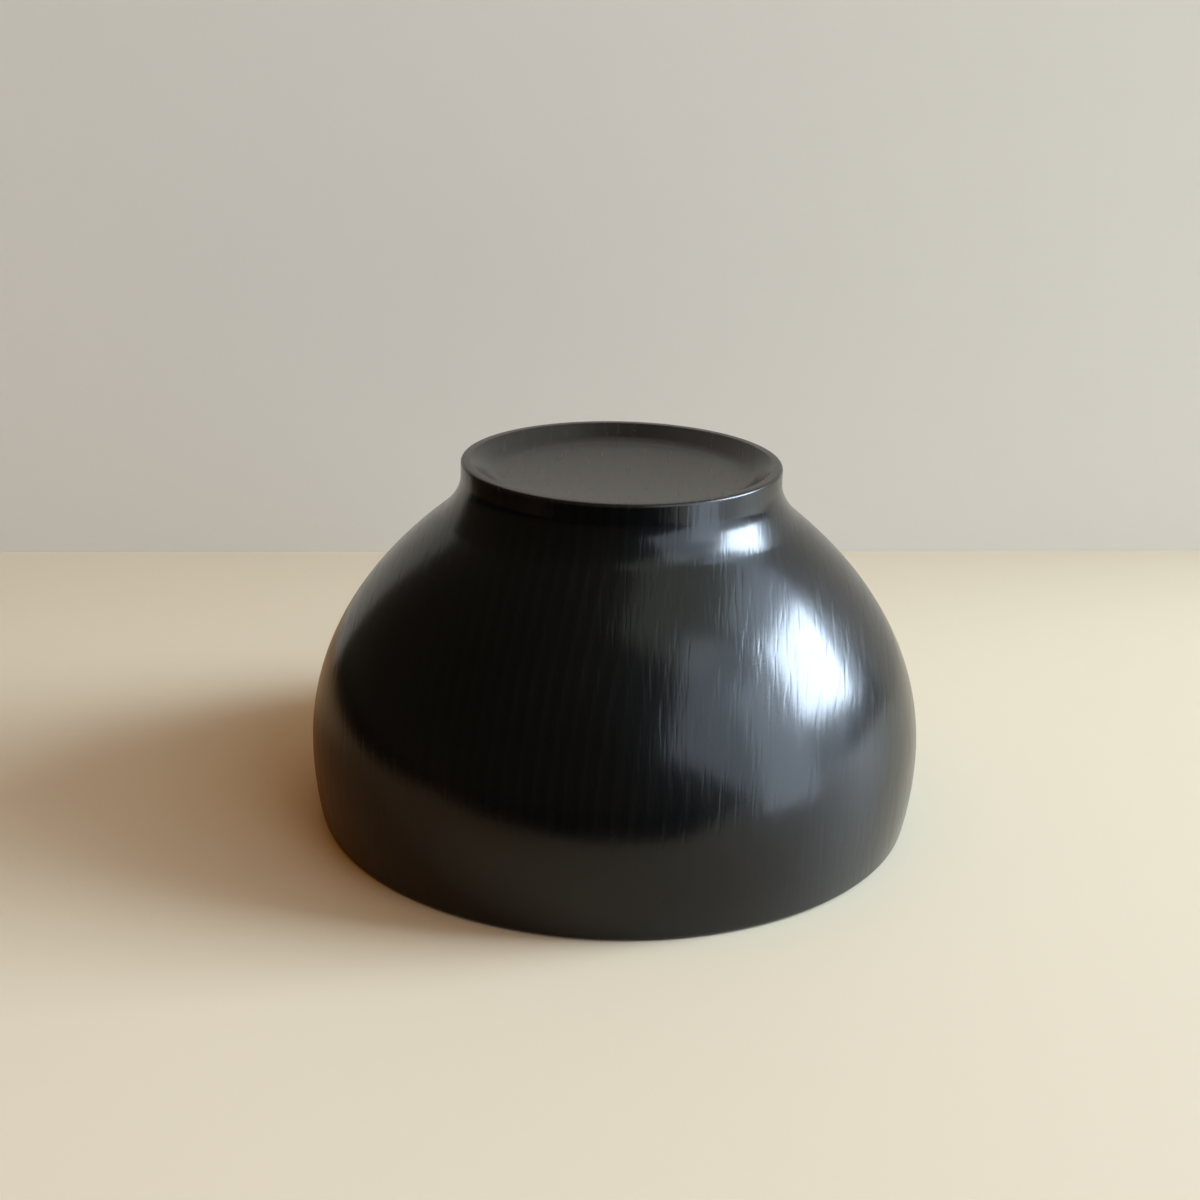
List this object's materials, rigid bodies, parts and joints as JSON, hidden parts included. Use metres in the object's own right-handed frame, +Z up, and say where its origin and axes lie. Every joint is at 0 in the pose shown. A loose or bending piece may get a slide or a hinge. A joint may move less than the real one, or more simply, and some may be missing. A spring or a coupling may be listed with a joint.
{
  "type": "soup bowl",
  "caption": "Turned wooden soup bowl with a low ring foot and thin black lacquer that shows the grain, stood upside down on its rim.",
  "frame": {"origin": "centre of the mouth, on the plane that the rim rests on, with the bowl upside down as pictured", "axes": "+Z up along the bowl's axis, from the mouth to the foot. +X is to the right in the picture and +Y away from the camera. For use the bowl is turned over about X"},
  "size_m": [0.118, 0.118, 0.069],
  "materials": {
    "turned_wood": "bare turned wood under the lacquer",
    "outer_lacquer": "thin black lacquer, satin gloss, grain showing through",
    "inner_lacquer": "thin black lacquer, satin gloss",
    "rim_lacquer": "thin black lacquer, satin gloss",
    "foot_edge_lacquer": "thin black lacquer, satin gloss",
    "foot_recess_lacquer": "matt warm black lacquer"
  },
  "bodies": {
    "root": {"wood_core": "turned_wood", "outer_lacquer": "outer_lacquer", "inner_lacquer": "inner_lacquer", "rim_lacquer": "rim_lacquer", "foot_edge_lacquer": "foot_edge_lacquer", "foot_recess_lacquer": "foot_recess_lacquer"}
  },
  "joints": []
}
